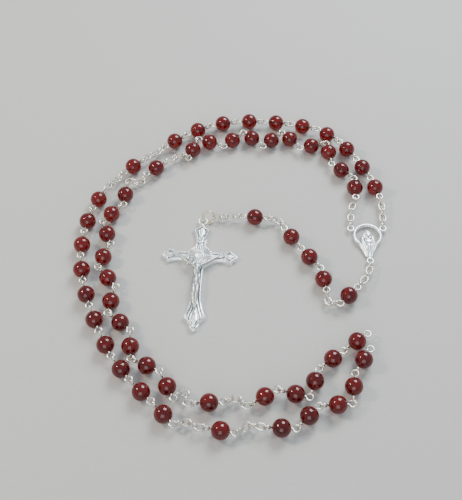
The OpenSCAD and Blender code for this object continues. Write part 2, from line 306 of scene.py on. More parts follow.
# where the CAD's own solids are
class Solid:
    # one solid of a node: its middle, its main directions and its corner points
    def __init__(self, corners, middle, directions):
        self.corners, self.middle, self.directions = corners, middle, directions


def solidsOf(name):
    mesh = bmesh.new()
    mesh.from_mesh(nodes[name].data)
    bmesh.ops.remove_doubles(mesh, verts=mesh.verts, dist=1e-6)
    found, seen = [], set()
    for start in mesh.verts:
        if start.index in seen:
            continue
        seen.add(start.index)
        members, waiting = [], [start]
        while waiting:
            corner = waiting.pop()
            members.append(corner)
            for edge in corner.link_edges:
                other = edge.other_vert(corner)
                if other.index not in seen:
                    seen.add(other.index)
                    waiting.append(other)
        faces = {face for corner in members for face in corner.link_faces}
        points, weights = [], []
        for face in faces:
            a, b, c = (np.array(v.co) for v in face.verts[:3])
            points += [(a + b) / 2, (b + c) / 2, (c + a) / 2]
            weights += [face.calc_area()] * 3
        points, weights = np.array(points), np.array(weights)
        middle = np.average(points, axis=0, weights=weights)
        spread = (points - middle).T @ ((points - middle) * weights[:, None])
        directions = np.linalg.eigh(spread)[1][:, ::-1]      # longest first
        found.append(Solid(np.array([v.co for v in members]), middle, directions))
    mesh.free()
    return found


def axes(along, up):
    # a turn whose x runs along, and whose z is as near up as it can be
    x = Vector(along).normalized()
    y = Vector(up).cross(x).normalized()
    return Matrix((x, y, x.cross(y))).transposed()


# trees that repeat one shape at many places
def wirePath(points):
    # a template: the wire's middle line as edges
    mesh = bpy.data.meshes.new("path")
    mesh.from_pydata([Vector(p) * mm for p in points], [(i, i + 1) for i in range(len(points) - 1)], [])
    return newObject("path", mesh)


def repeatTree(name, isWire):
    tree = bpy.data.node_groups.new(name, "GeometryNodeTree")
    tree.is_modifier = True
    sockets = [
        ("Places", "NodeSocketGeometry"), ("Shape", "NodeSocketObject"),
        ("Wire Radius", "NodeSocketFloat"),
        ("Sides", "NodeSocketInt"), ("Seed", "NodeSocketInt"), ("Finish", "NodeSocketMaterial"),
    ]
    for label, kind in sockets:
        tree.interface.new_socket(label, in_out="INPUT", socket_type=kind)
    tree.interface.new_socket("Result", in_out="OUTPUT", socket_type="NodeSocketGeometry")
    graph = Graph(tree)
    start = tree.nodes.new("NodeGroupInput")
    given = {label: Value(graph, start.outputs[label]) for label, kind in sockets}
    shape = graph.node("GeometryNodeObjectInfo", None, {"Object": given["Shape"]}, "Geometry")
    if isWire:
        line = graph.node("GeometryNodeMeshToCurve", None, {"Mesh": shape})
        ringSizes = {"Resolution": given["Sides"], "Radius": given["Wire Radius"]}
        ring = graph.node("GeometryNodeCurvePrimitiveCircle", None, ringSizes)
        shape = graph.node(
            "GeometryNodeCurveToMesh", None, {"Curve": line, "Profile Curve": ring, "Fill Caps": True})
    turn = graph.node("GeometryNodeInputNamedAttribute", {"data_type": "FLOAT_VECTOR"}, {"Name": "turn"})
    turn = graph.node("FunctionNodeEulerToRotation", None, {"Euler": turn})
    rows = graph.node(
        "GeometryNodeInstanceOnPoints", None,
        {"Points": given["Places"], "Instance": shape, "Rotation": turn})
    tone = graph.node("FunctionNodeRandomValue", {"data_type": "FLOAT"}, {"Seed": given["Seed"]}, 1)
    rows = graph.node(
        "GeometryNodeStoreNamedAttribute", {"data_type": "FLOAT", "domain": "INSTANCE"},
        {"Geometry": rows, "Name": "tone", "Value": tone})
    rows = graph.node("GeometryNodeRealizeInstances", None, {"Geometry": rows})
    rows = graph.node("GeometryNodeSetShadeSmooth", None, {"Geometry": rows})
    rows = graph.node("GeometryNodeSetMaterial", None, {"Geometry": rows, "Material": given["Finish"]})
    end = tree.nodes.new("NodeGroupOutput")
    tree.links.new(rows.output, end.inputs[0])
    return tree


wireTree = repeatTree("repeatedWire", True)
beadTree = repeatTree("repeatedBead", False)


def repeated(name, tree, shape, places, finish, seed, radius=0.0, sides=10):
    # places are (middle, turn) pairs in the row frame, in metres
    mesh = bpy.data.meshes.new("places")
    mesh.from_pydata([Vector(middle) for middle, turn in places], [], [])
    turns = mesh.attributes.new("turn", "FLOAT_VECTOR", "POINT")
    turns.data.foreach_set("vector", [x for middle, turn in places for x in turn.to_euler()])
    holder = newObject("places", mesh)
    modifier = holder.modifiers.new("repeat", "NODES")
    modifier.node_group = tree
    values = {
        "Shape": shape, "Wire Radius": radius, "Sides": sides, "Seed": seed, "Finish": finish,
    }
    for item in tree.interface.items_tree:
        if item.in_out == "INPUT" and item.name in values:
            modifier[item.identifier] = values[item.name]
    made = evaluated(holder, name)
    bpy.data.objects.remove(holder)
    return made


def shown(piece, body, slotName, *replaced):
    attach(piece, body)
    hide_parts(*replaced)
    return piece


# eye pins: one wire that ends in a bent loop each side of the bead
pin = {
    "wire": 0.64, "eyeRadius": 1.1, "eyePlace": 4.525, "loopStart": 33, "loopEnd": 346,
    "loopSteps": 26, "sides": 10,
}


def eyeLoop(side, flat):
    # from the shaft out to the loop's cut end
    line = [(side * (pin["eyePlace"] - pin["eyeRadius"] - 0.22), 0.0)]
    for k in range(pin["loopSteps"] + 1):
        angle = math.radians(pin["loopEnd"] + (pin["loopStart"] - pin["loopEnd"]) * k / pin["loopSteps"])
        out = pin["eyePlace"] - pin["eyeRadius"] * math.cos(angle)
        line.append((side * out, side * pin["eyeRadius"] * math.sin(angle)))
    return [(x, y, 0) if flat else (x, 0, y) for x, y in line]


def pinPath(flatStart):
    return wirePath(eyeLoop(-1, flatStart)[::-1] + [(0, 0, 0)] + eyeLoop(1, True))


pinShapes = {True: pinPath(True), False: pinPath(False)}


def pinPlace(solid):
    # the turn that puts the pin's upright eye at its start, and whether its start is flat
    along = Vector(solid.directions[:, 0])
    out = (solid.corners - solid.middle) @ np.array(along)
    tall = [np.ptp(solid.corners[side * out > 0.0035][:, 2]) > 0.0015 for side in (-1, 1)]
    if tall[1]:
        along = -along
    return Vector(solid.middle), axes(along, (0, 0, 1)), not any(tall)


pinsAt = {}
for name in nodes:
    if "_pin" not in name:
        continue
    body = nodes[name]["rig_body"]
    places = [pinPlace(solid) for solid in solidsOf(name)]
    pinsAt[name] = places
    made = []
    for flatStart in (False, True):
        chosen = [(middle, turn) for middle, turn, flat in places if flat == flatStart]
        if chosen:
            label = name + ("_flat" if flatStart else "") + "_wire"
            made.append(repeated(
                label, wireTree, pinShapes[flatStart], chosen, steelWire, len(pinsAt),
                pin["wire"] / 2 * mm, pin["sides"]))
    for piece in made:
        shown(piece, body, "pins", name)
print("pins:", sum(len(p) for p in pinsAt.values()))

# chain links: an oval with its seam in one straight side
link = {"wire": 0.6, "length": 3.8, "width": 2.7, "seam": 0.05, "bendSteps": 9, "sides": 10}


def linkPath():
    radius = (link["width"] - link["wire"]) / 2
    straight = (link["length"] - link["width"]) / 2
    line = [(link["seam"] / 2, radius)]
    for side in (1, -1):
        for k in range(link["bendSteps"] + 1):
            angle = math.pi / 2 - math.pi * k / link["bendSteps"]
            if side < 0:
                angle -= math.pi
            line.append((side * straight + radius * math.cos(angle), radius * math.sin(angle)))
    line.append((-link["seam"] / 2, radius))
    return wirePath([(x, y, 0) for x, y in line])


linkShape = linkPath()
linkCount = 0
for name in nodes:
    if "_chain_" not in name:
        continue
    solids = solidsOf(name)
    places = [(Vector(s.middle), axes(s.directions[:, 0], s.directions[:, 2])) for s in solids]
    piece = repeated(
        name + "_links", wireTree, linkShape, places, steelWire, 100 + linkCount,
        link["wire"] / 2 * mm, link["sides"])
    shown(piece, nodes[name]["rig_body"], "links", name)
    linkCount += len(solids)
print("links:", linkCount)

# jump ring: round wire, cut once
jump = {"wire": 0.5, "diameter": 4.9, "cut": 5, "steps": 40, "cutAt": 100, "sides": 12}
ring = solidsOf("jump_ring")[0]
radius = (jump["diameter"] - jump["wire"]) / 2
arc = [
    math.radians(jump["cutAt"] + jump["cut"] / 2 + (360 - jump["cut"]) * k / jump["steps"])
    for k in range(jump["steps"] + 1)
]
ringShape = wirePath([(radius * math.cos(a), radius * math.sin(a), 0) for a in arc])
ringTurn = axes((1, 0, 0), ring.directions[:, 2] * (1 if ring.directions[2, 2] > 0 else -1))
piece = repeated(
    "jumpRing", wireTree, ringShape, [(Vector(ring.middle), ringTurn)], brassWire, 7,
    jump["wire"] / 2 * mm, jump["sides"])
shown(piece, "jump_ring", "jump_ring", "jump_ring")

# beads: turned glass with a bore and softened bore edges
bead = {"diameter": 6.0, "bore": 0.7, "edge": 0.12, "rings": 20, "around": 32}


def beadShape():
    # the section from one bore mouth over the belly to the other, then back through the bore
    outer, bore = bead["diameter"] / 2, bead["bore"] / 2
    first = math.asin((bore + bead["edge"]) / outer)
    section = [
        (-outer * math.cos(a), outer * math.sin(a))
        for a in np.linspace(first, math.pi - first, bead["rings"])
    ]
    end = section[-1][0]
    section += [(end + 0.02, bore + bead["edge"] / 3), (end - 0.06, bore)]
    section += [(-end + 0.06, bore), (-end - 0.02, bore + bead["edge"] / 3)]
    mesh = bmesh.new()
    rings = []
    for x, r in section:
        turns = [2 * math.pi * k / bead["around"] for k in range(bead["around"])]
        rings.append([mesh.verts.new(Vector((x, r * math.cos(t), r * math.sin(t))) * mm) for t in turns])
    for one, two in zip(rings, rings[1:] + rings[:1]):
        for k in range(bead["around"]):
            n = (k + 1) % bead["around"]
            mesh.faces.new((one[k], one[n], two[n], two[k]))
    bmesh.ops.recalc_face_normals(mesh, faces=mesh.faces)
    data = bpy.data.meshes.new("bead")
    mesh.to_mesh(data)
    mesh.free()
    return newObject("bead", data)


beadTemplate = beadShape()
beadCount = 0
for name in nodes:
    if "_bead" not in name:
        continue
    places = [(middle, turn) for middle, turn, flat in pinsAt[name.replace("bead", "pin")]]
    beadCount += len(places)
    piece = repeated(name + "_glass", beadTree, beadTemplate, places, redGlass, 200 + beadCount)
    shown(piece, nodes[name]["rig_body"], "beads", name)
print("beads:", beadCount)


def markHollows(piece, strength):
    # stores how far each point lies in a hollow (+) or on a ridge (-)
    mesh = bmesh.new()
    mesh.from_mesh(piece.data)
    mesh.normal_update()
    points = np.array([v.co for v in mesh.verts])
    normals = np.array([v.normal for v in mesh.verts])
    pairs = np.array([[e.verts[0].index, e.verts[1].index] for e in mesh.edges])
    count = np.bincount(pairs.ravel(), minlength=len(points))[:, None]

    def averaged(values):
        total = np.zeros_like(values)
        np.add.at(total, pairs[:, 0], values[pairs[:, 1]])
        np.add.at(total, pairs[:, 1], values[pairs[:, 0]])
        return total / np.maximum(count, 1)

    wide = points.copy()
    for k in range(6):
        wide = averaged(wide)
    depth = np.sum((wide - points) * normals, axis=1)[:, None] / mm * strength
    for k in range(2):
        depth = averaged(depth)
    mesh.free()
    stored = piece.data.attributes.new("hollow", "FLOAT", "POINT")
    stored.data.foreach_set("value", np.clip(depth[:, 0], -1, 1).astype(np.float32))


def sculpted(name, parts, voxel, smoothing, floorHeight=None):
    # parts in mm: ("ball", middle, radii, tilt), ("limb", points, radii)
    # and ("ring", middle, radius, wire radii, and where it is open its start and sweep)
    mesh = bmesh.new()
    for part in parts:
        if part[0] == "ball":
            kind, middle, radii, tilt = part
            place = Matrix.Translation(Vector(middle)) @ Matrix.Rotation(math.radians(tilt), 4, "Z")
            bmesh.ops.create_icosphere(
                mesh, subdivisions=4, radius=1, matrix=place @ Matrix.Diagonal((*radii, 1)))
        elif part[0] == "limb":
            kind, points, radii = part
            for point, r in zip(points, radii):
                bmesh.ops.create_icosphere(
                    mesh, subdivisions=3, radius=r, matrix=Matrix.Translation(Vector(point)))
            for a, b, ra, rb in zip(points, points[1:], radii, radii[1:]):
                way = Vector(b) - Vector(a)
                turn = way.to_track_quat("Z", "Y").to_matrix().to_4x4()
                place = Matrix.Translation((Vector(a) + Vector(b)) / 2) @ turn
                bmesh.ops.create_cone(
                    mesh, cap_ends=True, segments=20, radius1=ra, radius2=rb, depth=way.length,
                    matrix=place)
        else:
            kind, middle, radius, wireRadius = part[:4]
            start, sweep = part[4] if len(part) > 4 else (0, 360)
            rows = []
            for k in range(48 if sweep == 360 else 49):
                a = math.radians(start + sweep * k / 48)
                out = Vector((math.cos(a), math.sin(a), 0))
                rows.append([
                    mesh.verts.new(Vector(middle) + out * (radius + wireRadius[0] * math.cos(b))
                                   + Vector((0, 0, wireRadius[1] * math.sin(b))))
                    for b in (2 * math.pi * n / 14 for n in range(14))])
            for one, two in zip(rows, rows[1:] + (rows[:1] if sweep == 360 else [])):
                for n in range(14):
                    m = (n + 1) % 14
                    mesh.faces.new((one[n], two[n], two[m], one[m]))
            if sweep < 360:
                mesh.faces.new(rows[0])
                mesh.faces.new(rows[-1][::-1])
    if floorHeight is not None:
        for v in mesh.verts:
            v.co.z = max(v.co.z, floorHeight)
    bmesh.ops.recalc_face_normals(mesh, faces=mesh.faces)
    for v in mesh.verts:
        v.co *= mm
    data = bpy.data.meshes.new("rough")
    mesh.to_mesh(data)
    mesh.free()
    rough = newObject("rough", data)
    remesh = rough.modifiers.new("remesh", "REMESH")
    remesh.mode, remesh.voxel_size, remesh.use_smooth_shade = "VOXEL", voxel * mm, True
    smooth = rough.modifiers.new("smooth", "SMOOTH")
    smooth.factor, smooth.iterations = 0.5, smoothing
    made = evaluated(rough, name)
    bpy.data.objects.remove(rough)
    return made


def moved(piece, matrix):
    piece.data.transform(matrix)
    return piece


# centrepiece: ring, three loops, a mantle that narrows to the foot, and a veiled bust
centre = {
    "ringRadius": 4.7, "bandHalf": 0.6, "bandHeight": 0.95, "loopRadius": 1.075, "loopWire": 0.325,
    "loopHeight": 1.4, "sideLoop": 6.6, "sideAngle": 28, "foot": 11.0, "voxel": 0.075, "voxelQuick": 0.12,
}


def mirroredLimb(points, radii, lift=0.0):
    other = [(-x, y, z + lift) for x, y, z in points]
    return [("limb", points, radii), ("limb", other, radii)]


def centreParts():
    c = centre
    a = math.radians(c["sideAngle"])
    loops = [
        (c["sideLoop"] * math.cos(a), c["sideLoop"] * math.sin(a)),
        (-c["sideLoop"] * math.cos(a), c["sideLoop"] * math.sin(a)), (0, -c["foot"]),
    ]
    wireHalf = (c["loopWire"], c["loopWire"])
    parts = [("ring", (x, y, c["loopHeight"]), c["loopRadius"], wireHalf) for x, y in loops]
    parts.append(
        ("ring", (0, 0, c["bandHeight"]), c["ringRadius"], (c["bandHalf"], c["bandHeight"]), (-50, 280)))
    # small bosses round the band, and the stubs that carry the loops
    for k in range(15):
        turn = math.radians(18 * k - 36)
        at = (c["ringRadius"] * math.cos(turn), c["ringRadius"] * math.sin(turn), 1.45)
        parts.append(("ball", at, (0.55, 0.72, 0.48), math.degrees(turn)))
    for side in (-1, 1):
        x, y = side * math.cos(a), math.sin(a)
        parts.append(("limb", [(4.9 * x, 4.9 * y, 1.1), (5.6 * x, 5.6 * y, 1.3)], [0.62, 0.45]))
    parts.append(("limb", [(0, -8.6, 1.0), (0, -9.95, 1.3)], [0.75, 0.42]))
    # shoulders, mantle and its flutes
    parts.append(("ball", (0, -2.6, 0.6), (2.2, 1.7, 1.35), 0))
    parts.append(("ball", (0, -5.2, 0.5), (2.0, 2.8, 1.15), 0))
    parts.append(("limb", [(0, -4.5, 0.55), (0, -8.8, 0.55)], [1.5, 0.62]))
    mantle = [
        (1.75, 0.2, 0.85), (1.95, -1.8, 1.05), (2.0, -3.4, 1.35), (1.5, -6.0, 1.1), (0.75, -8.9, 0.85),
    ]
    parts += mirroredLimb(mantle, [0.45, 0.48, 0.5, 0.42, 0.34])
    brace = [(3.1, -3.55, 0.95), (2.3, -5.2, 0.85), (0.95, -8.7, 0.75)]
    parts += mirroredLimb(brace, [0.62, 0.5, 0.34])
    parts += mirroredLimb([(0.95, -1.9, 1.5), (0.55, -3.6, 1.45), (0.12, -5.2, 1.35)], [0.2, 0.22, 0.16])
    parts += mirroredLimb([(1.3, -3.5, 1.4), (0.9, -5.8, 1.25), (0.3, -8.3, 1.1)], [0.22, 0.24, 0.16])
    parts += mirroredLimb([(0.55, -4.6, 1.35), (0.4, -6.3, 1.25), (0.12, -8.0, 1.15)], [0.16, 0.2, 0.14])
    parts.append(("limb", [(0.05, -5.4, 1.4), (0.02, -7.9, 1.2)], [0.17, 0.15]))
    # veil, its rim round the face, and hair under it
    parts.append(("ball", (0.1, 0.3, 0.55), (2.0, 2.1, 1.75), 0))
    rim = []
    for k in range(15):
        t = math.radians(-55 + 290 * k / 14)
        across, up = math.cos(t), math.sin(t)
        rim.append((-0.12 + 1.28 * across, -0.1 + 1.62 * up, 1.85 - 0.25 * abs(across)))
    parts.append(("limb", rim, [0.26] * 15))
    parts += [
        ("limb", [(-1.0, 0.35, 2.0), (-0.65, 0.95, 2.2), (-0.15, 1.15, 2.28)], [0.16, 0.2, 0.16]),
        ("limb", [(0.75, 0.3, 2.05), (0.45, 0.95, 2.2), (-0.1, 1.17, 2.28)], [0.16, 0.2, 0.16]),
        ("limb", [(-1.35, 1.35, 1.6), (-0.2, 2.0, 1.5), (1.1, 1.55, 1.5)], [0.12, 0.14, 0.12]),
        ("limb", [(-1.8, 0.2, 1.2), (-1.65, -1.6, 1.25)], [0.2, 0.2]),
        ("limb", [(1.75, 0.2, 1.2), (1.6, -1.6, 1.25)], [0.2, 0.2]),
    ]
    # face: a calm oval with brow, eyes, nose, lips and chin, turned a little to one side
    parts += [
        ("ball", (-0.15, -0.12, 1.5), (0.92, 1.22, 0.85), 4),
        ("ball", (-0.2, -1.02, 1.75), (0.36, 0.34, 0.34), 0),
        ("ball", (-0.6, -0.42, 1.95), (0.34, 0.4, 0.3), 0),
        ("ball", (0.28, -0.42, 1.98), (0.36, 0.4, 0.3), 0),
        ("limb", [(-0.2, 0.2, 2.28), (-0.24, -0.22, 2.42), (-0.25, -0.36, 2.46)], [0.08, 0.11, 0.14]),
        ("limb", [(-0.82, 0.22, 2.1), (-0.52, 0.3, 2.24), (-0.26, 0.24, 2.28)], [0.07, 0.09, 0.07]),
        ("limb", [(0.46, 0.22, 2.12), (0.12, 0.3, 2.26), (-0.14, 0.24, 2.28)], [0.07, 0.09, 0.07]),
        ("ball", (-0.54, 0.06, 2.14), (0.17, 0.09, 0.1), 0),
        ("ball", (0.13, 0.06, 2.16), (0.17, 0.09, 0.1), 0),
        ("limb", [(-0.42, -0.62, 2.22), (-0.22, -0.59, 2.3), (-0.02, -0.62, 2.24)], [0.05, 0.07, 0.05]),
        ("limb", [(-0.36, -0.72, 2.2), (-0.22, -0.74, 2.26), (-0.08, -0.72, 2.21)], [0.05, 0.07, 0.05]),
        ("limb", [(-0.1, -1.1, 1.15), (0, -2.0, 1.15)], [0.55, 0.68]),
    ]
    return parts


centrepiece = sculpted(
    "centrepieceCasting", centreParts(),
    centre["voxel"], 3, 0.03)
markHollows(centrepiece, 9)
centrepiece.data.materials.append(plateMetal)
shown(centrepiece, "centrepiece", "centrepiece", "centrepiece")
print("centrepiece:", len(centrepiece.data.polygons), "faces")

# crucifix: its own frame has the crossing's middle at the origin, the bail along +Y
# and z = 0 on its back
cross = {
    "top": 13.64, "foot": 30.36, "arm": 13.5, "thickness": 1.6, "step": 0.12, "stepQuick": 0.25,
    "edge": 0.45, "rimInset": 0.62,
    "bailRadius": 1.5, "bailWire": 0.3, "bailHeight": 1.3, "bailDrop": 15.24, "bailVoxel": 0.08,
}
crossMount = next(m for m in frame["record"]["mounts"] if m["name"] == "crucifix_back")
rivetSpots = sorted((Vector(s.middle) for s in solidsOf("crucifix_rivets")), key=lambda v: v.y)
handLine = sorted(rivetSpots[1:], key=lambda v: v.x)
armsWay = (handLine[1] - handLine[0]).normalized()
crossFrame = Matrix.Translation(Vector(crossMount["pos_m"])) @ axes(armsWay, (0, 0, 1)).to_4x4()


def mirrorOutline(half):
    return half + [(-x, y) for x, y in reversed(half) if abs(x) > 1e-6]


def crossOutline():
    # the right-hand side, from the top lobe round to the foot lobe
    c, lobe, toe = cross, 1.5, 1.6
    right = [(0, c["top"] - 0.02)]
    right += [(1.2 * math.sin(a), c["top"] - 1.2 + 1.2 * math.cos(a)) for a in np.linspace(0.3, 1.25, 5)]
    right += [(1.75, c["top"] - 1.35), (3.5, c["top"] - 2.2), (2.7, c["top"] - 3.6), (2.25, c["top"] - 5.1)]
    right += [(2.02, c["top"] - 6.6), (2.0, 5.0), (2.25, 4.25), (3.0, 3.4), (3.75, 2.5), (4.6, 2.05)]
    right += [(6.2, 1.92), (7.8, 1.98), (9.2, 2.25), (10.5, 2.7), (11.3, 3.0), (11.9, 1.75)]
    right += [
        (c["arm"] - lobe + lobe * math.sin(a), lobe * math.cos(a))
        for a in np.linspace(0.55, math.pi - 0.55, 11)
    ]
    right += [(11.9, -1.75), (11.3, -3.0), (10.5, -2.7), (9.2, -2.25), (7.8, -2.02), (6.4, -2.0)]
    right += [(5.2, -2.4), (3.9, -3.15), (2.7, -4.0), (2.0, -4.9), (1.85, -6.5), (1.82, -12)]
    right += [(1.9, -16.5)]
    right += [(2.05, -18.5), (2.4, -20.4), (2.95, -22.3), (3.5, -23.9), (3.9, -24.85), (3.55, -25.05)]
    right += [(3.85, -25.45), (3.1, -26.2), (2.3, -26.95), (1.8, -27.6), (1.68, -28.6)]
    right += [
        (toe * math.sin(a), -c["foot"] + toe + toe * -math.cos(a)) for a in np.linspace(1.35, 0.25, 6)
    ]
    right += [(0, -c["foot"] + 0.02)]
    return np.array(mirrorOutline(right))


def distanceTo(outline, points):
    # signed distance to a closed outline: below zero inside
    nearest = np.full(len(points), 1e9)
    inside = np.zeros(len(points), bool)
    for a, b in zip(outline, np.roll(outline, -1, axis=0)):
        way = b - a
        t = np.clip(((points - a) @ way) / (way @ way), 0, 1)
        nearest = np.minimum(nearest, np.linalg.norm(points - a - t[:, None] * way, axis=1))
        crosses = (a[1] > points[:, 1]) != (b[1] > points[:, 1])
        if a[1] != b[1]:
            at = a[0] + (points[:, 1] - a[1]) * way[0] / way[1]
            inside ^= crosses & (points[:, 0] < at)
    return np.where(inside, -nearest, nearest)


def ridge(distance, width):
    return np.exp(-((distance / width) ** 2))


def stroke(points, line, width):
    # a ridge that follows a line, thinner to its ends
    nearest = np.full(len(points), 1e9)
    for a, b in zip(np.array(line)[:-1], np.array(line)[1:]):
        way = b - a
        t = np.clip(((points - a) @ way) / (way @ way), 0, 1)
        nearest = np.minimum(nearest, np.linalg.norm(points - a - t[:, None] * way, axis=1))
    return ridge(nearest, width)


def drop(points, tip, end, half):
    # signed distance, nearly, to a teardrop with its point at tip and its round end at end
    way = np.array(end) - np.array(tip)
    length = np.linalg.norm(way)
    way = way / length
    along = (points - np.array(tip)) @ way
    aside = np.abs((points - np.array(tip)) @ np.array([-way[1], way[0]]))
    share = np.clip(along / length, 0, 1)
    width = half * np.sin(np.pi * share ** 1.5) ** 0.7
    return np.maximum(aside - width, np.maximum(-along, along - length))


def crossHeight(points, depth):
    # the relief's height at each point; depth is how far it lies inside the outline
    x, y = points[:, 0], points[:, 1]
    c = cross
    height = np.full(len(points), c["thickness"] - 0.28)
    height += 0.26 * ridge(depth - c["rimInset"], 0.24)                     # raised rim
    height -= 0.14 * ridge(depth - c["rimInset"] - 0.5, 0.2)                # groove inside it
    far = np.hypot(x, y)
    angle = np.arctan2(y, x)
    rays = 0.16 * np.cos(28 * angle) * np.clip((far - 1.1) / 0.8, 0, 1)
    rays *= np.clip((4.5 - far) / 0.7, 0, 1)
    burst = np.clip((4.6 - far) / 0.5, 0, 1)
    height = height * (1 - burst) + (c["thickness"] + 0.02 + rays) * burst
    height += 0.16 * ridge(far - 1.25, 0.2) * burst
    for side in (-1, 1):
        at = drop(points, (side * 8.6, 0), (side * 12.7, 0), 0.95)
        height += 0.16 * ridge(at, 0.13) + 0.22 * np.clip(-at / 0.5, 0, 1)
        height -= 0.16 * ridge(at - 0.3, 0.15)
        for up in (-1, 1):
            vein = [(side * 7.4, up * 0.9), (side * 9.4, up * 1.25), (side * 11, up * 2.3)]
            height += 0.16 * stroke(points, vein, 0.15)
            height -= 0.12 * stroke(points, [(side * 5.0, up * 0.75), (side * 8.2, up * 0.55)], 0.16)
    top = drop(points, (0, 7.6), (0, 12.3), 1.05)
    height += 0.18 * ridge(top, 0.14) + 0.24 * np.clip(-top / 0.5, 0, 1) - 0.2 * ridge(top - 0.32, 0.17)
    for side in (-1, 1):
        height += 0.14 * stroke(points, [(side * 1.25, 6.4), (side * 1.7, 9.2), (side * 2.7, 11.3)], 0.16)
    # a plain scroll above the head
    scroll = np.maximum(np.abs(x) - 1.45, np.abs(y - 6.1 - 0.08 * x) - 0.5)
    height += 0.24 * np.clip(-scroll / 0.16, 0, 1) - 0.16 * ridge(scroll - 0.16, 0.12)
    for curlX, curlY in ((1.45, 6.35), (-1.45, 5.85)):
        height += 0.12 * ridge(np.hypot(x - curlX, y - curlY), 0.3)
    # shaft: a fluted middle, and the flared foot with its drop and notch line
    flute = np.clip((-5.0 - y) / 1.0, 0, 1) * np.clip((y + 22.0) / 1.5, 0, 1)
    height -= 0.12 * flute * ridge(np.abs(x) - 0.75, 0.22)
    foot = drop(points, (0, -20.6), (0, -29.2), 1.45)
    height += 0.2 * ridge(foot, 0.16) + 0.2 * np.clip(-foot / 0.8, 0, 1) - 0.2 * ridge(foot - 0.38, 0.2)
    for side in (-1, 1):
        notch = [(side * 4.2, -25.15), (side * 2.6, -24.0), (side * 2.0, -22.4)]
        flare = [(side * 3.6, -24.3), (side * 2.7, -22.2), (side * 1.9, -19.4)]
        height -= 0.26 * stroke(points, notch, 0.15)
        height += 0.14 * stroke(points, flare, 0.16)
    # rounded edge down to the side wall
    slope = np.clip(depth / c["edge"], 0, 1)
    shoulder = 0.62 * c["thickness"]
    return shoulder + (height - shoulder) * np.sqrt(np.clip(1 - (1 - slope) ** 2, 0, 1))


def reliefPlate(name, outline, heightOf, step):
    # a grid over the outline, its border drawn onto the outline, raised to the relief's height
    low, high = outline.min(0) - 2 * step, outline.max(0) + 2 * step
    xs, ys = np.arange(low[0], high[0], step), np.arange(low[1], high[1], step)
    grid = np.stack(np.meshgrid(xs, ys, indexing="ij"), -1).reshape(-1, 2)
    inner = (grid.reshape(len(xs), len(ys), 2)[:-1, :-1] + step / 2).reshape(-1, 2)
    kept = (distanceTo(outline, inner) < 0).reshape(len(xs) - 1, len(ys) - 1)
    numbers = np.arange(len(grid)).reshape(len(xs), len(ys))
    i, j = np.nonzero(kept)
    quads = np.stack([numbers[i, j], numbers[i + 1, j], numbers[i + 1, j + 1], numbers[i, j + 1]], 1)
    used, quads = np.unique(quads, return_inverse=True)
    quads = quads.reshape(-1, 4)
    points = grid[used]
    edges = {}
    for quad in quads:
        for a, b in zip(quad, np.roll(quad, -1)):
            edges[(a, b)] = True
    border = [(a, b) for a, b in edges if (b, a) not in edges]
    rimPoints = np.array(sorted({a for a, b in border}))
    for k in range(3):
        at = points[rimPoints]
        distance = distanceTo(outline, at)
        slope = np.stack([
            distanceTo(outline, at + [0.01, 0]) - distanceTo(outline, at - [0.01, 0]),
            distanceTo(outline, at + [0, 0.01]) - distanceTo(outline, at - [0, 0.01])], 1) / 0.02
        size = np.maximum(np.linalg.norm(slope, axis=1, keepdims=True), 0.3)
        points[rimPoints] = at - distance[:, None] * slope / size ** 2
    depth = -distanceTo(outline, points)
    depth[rimPoints] = 0
    heights = heightOf(points, depth)
    count = len(points)
    corners = np.vstack([np.column_stack([points, heights]), np.column_stack([points, np.zeros(count)])])
    walls = [(a, a + count, b + count, b) for a, b in border]
    faces = quads.tolist() + (quads[:, ::-1] + count).tolist() + [[int(v) for v in w] for w in walls]
    data = bpy.data.meshes.new(name)
    data.from_pydata((corners * mm).tolist(), [], faces)
    mesh = bmesh.new()
    mesh.from_mesh(data)
    bmesh.ops.recalc_face_normals(mesh, faces=mesh.faces)
    for edge in mesh.edges:
        edge.smooth = edge.calc_face_angle(0) < math.radians(60)
    for face in mesh.faces:
        face.smooth = True
    mesh.to_mesh(data)
    mesh.free()
    return newObject(name, data)


crossPlate = reliefPlate(
    "crossPlate", crossOutline(), crossHeight, cross["step"])
markHollows(crossPlate, 11)
crossPlate.data.materials.append(plateMetal)
moved(crossPlate, crossFrame)
shown(crossPlate, "crucifix", "crucifix", "crucifix_cross")
bailParts = [
    ("ring", (0, cross["bailDrop"], cross["bailHeight"]), cross["bailRadius"],
     (cross["bailWire"], cross["bailWire"])),
    ("limb", [(0, 13.2, 1.1), (0, 13.75, 1.25)], [0.5, 0.36]),
]
bail = sculpted("bail", bailParts, cross["bailVoxel"], 2)
markHollows(bail, 9)
bail.data.materials.append(plateMetal)
moved(bail, crossFrame)
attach(bail, "crucifix")
print("cross:", len(crossPlate.data.polygons), "faces")

# corpus: heights are above the back that faces the cross
corpus = {
    "floor": 1.85, "lean": -0.6, "voxel": 0.075, "voxelQuick": 0.13, "headDrop": (-0.75, -1.3, 0),
    "hangAt": (-22, -10, -4, -0.5), "hangBy": (0, -0.5, -1.0, 0),
}


def hung(part, shift=(0, 0, 0)):
    # the body sags between its nailed hands and feet
    def at(point):
        sag = np.interp(point[1], corpus["hangAt"], corpus["hangBy"]) if shift == (0, 0, 0) else 0
        return (point[0] + shift[0], point[1] + sag + shift[1], point[2] + shift[2])

    if part[0] == "ball":
        return ("ball", at(part[1]), *part[2:])
    return (part[0], [at(point) for point in part[1]], *part[2:])


def mirroredAbout(line, points, radii):
    return [
        ("limb", [(line + x, y, z) for x, y, z in points], radii),
        ("limb", [(line - x, y, z) for x, y, z in points], radii),
    ]


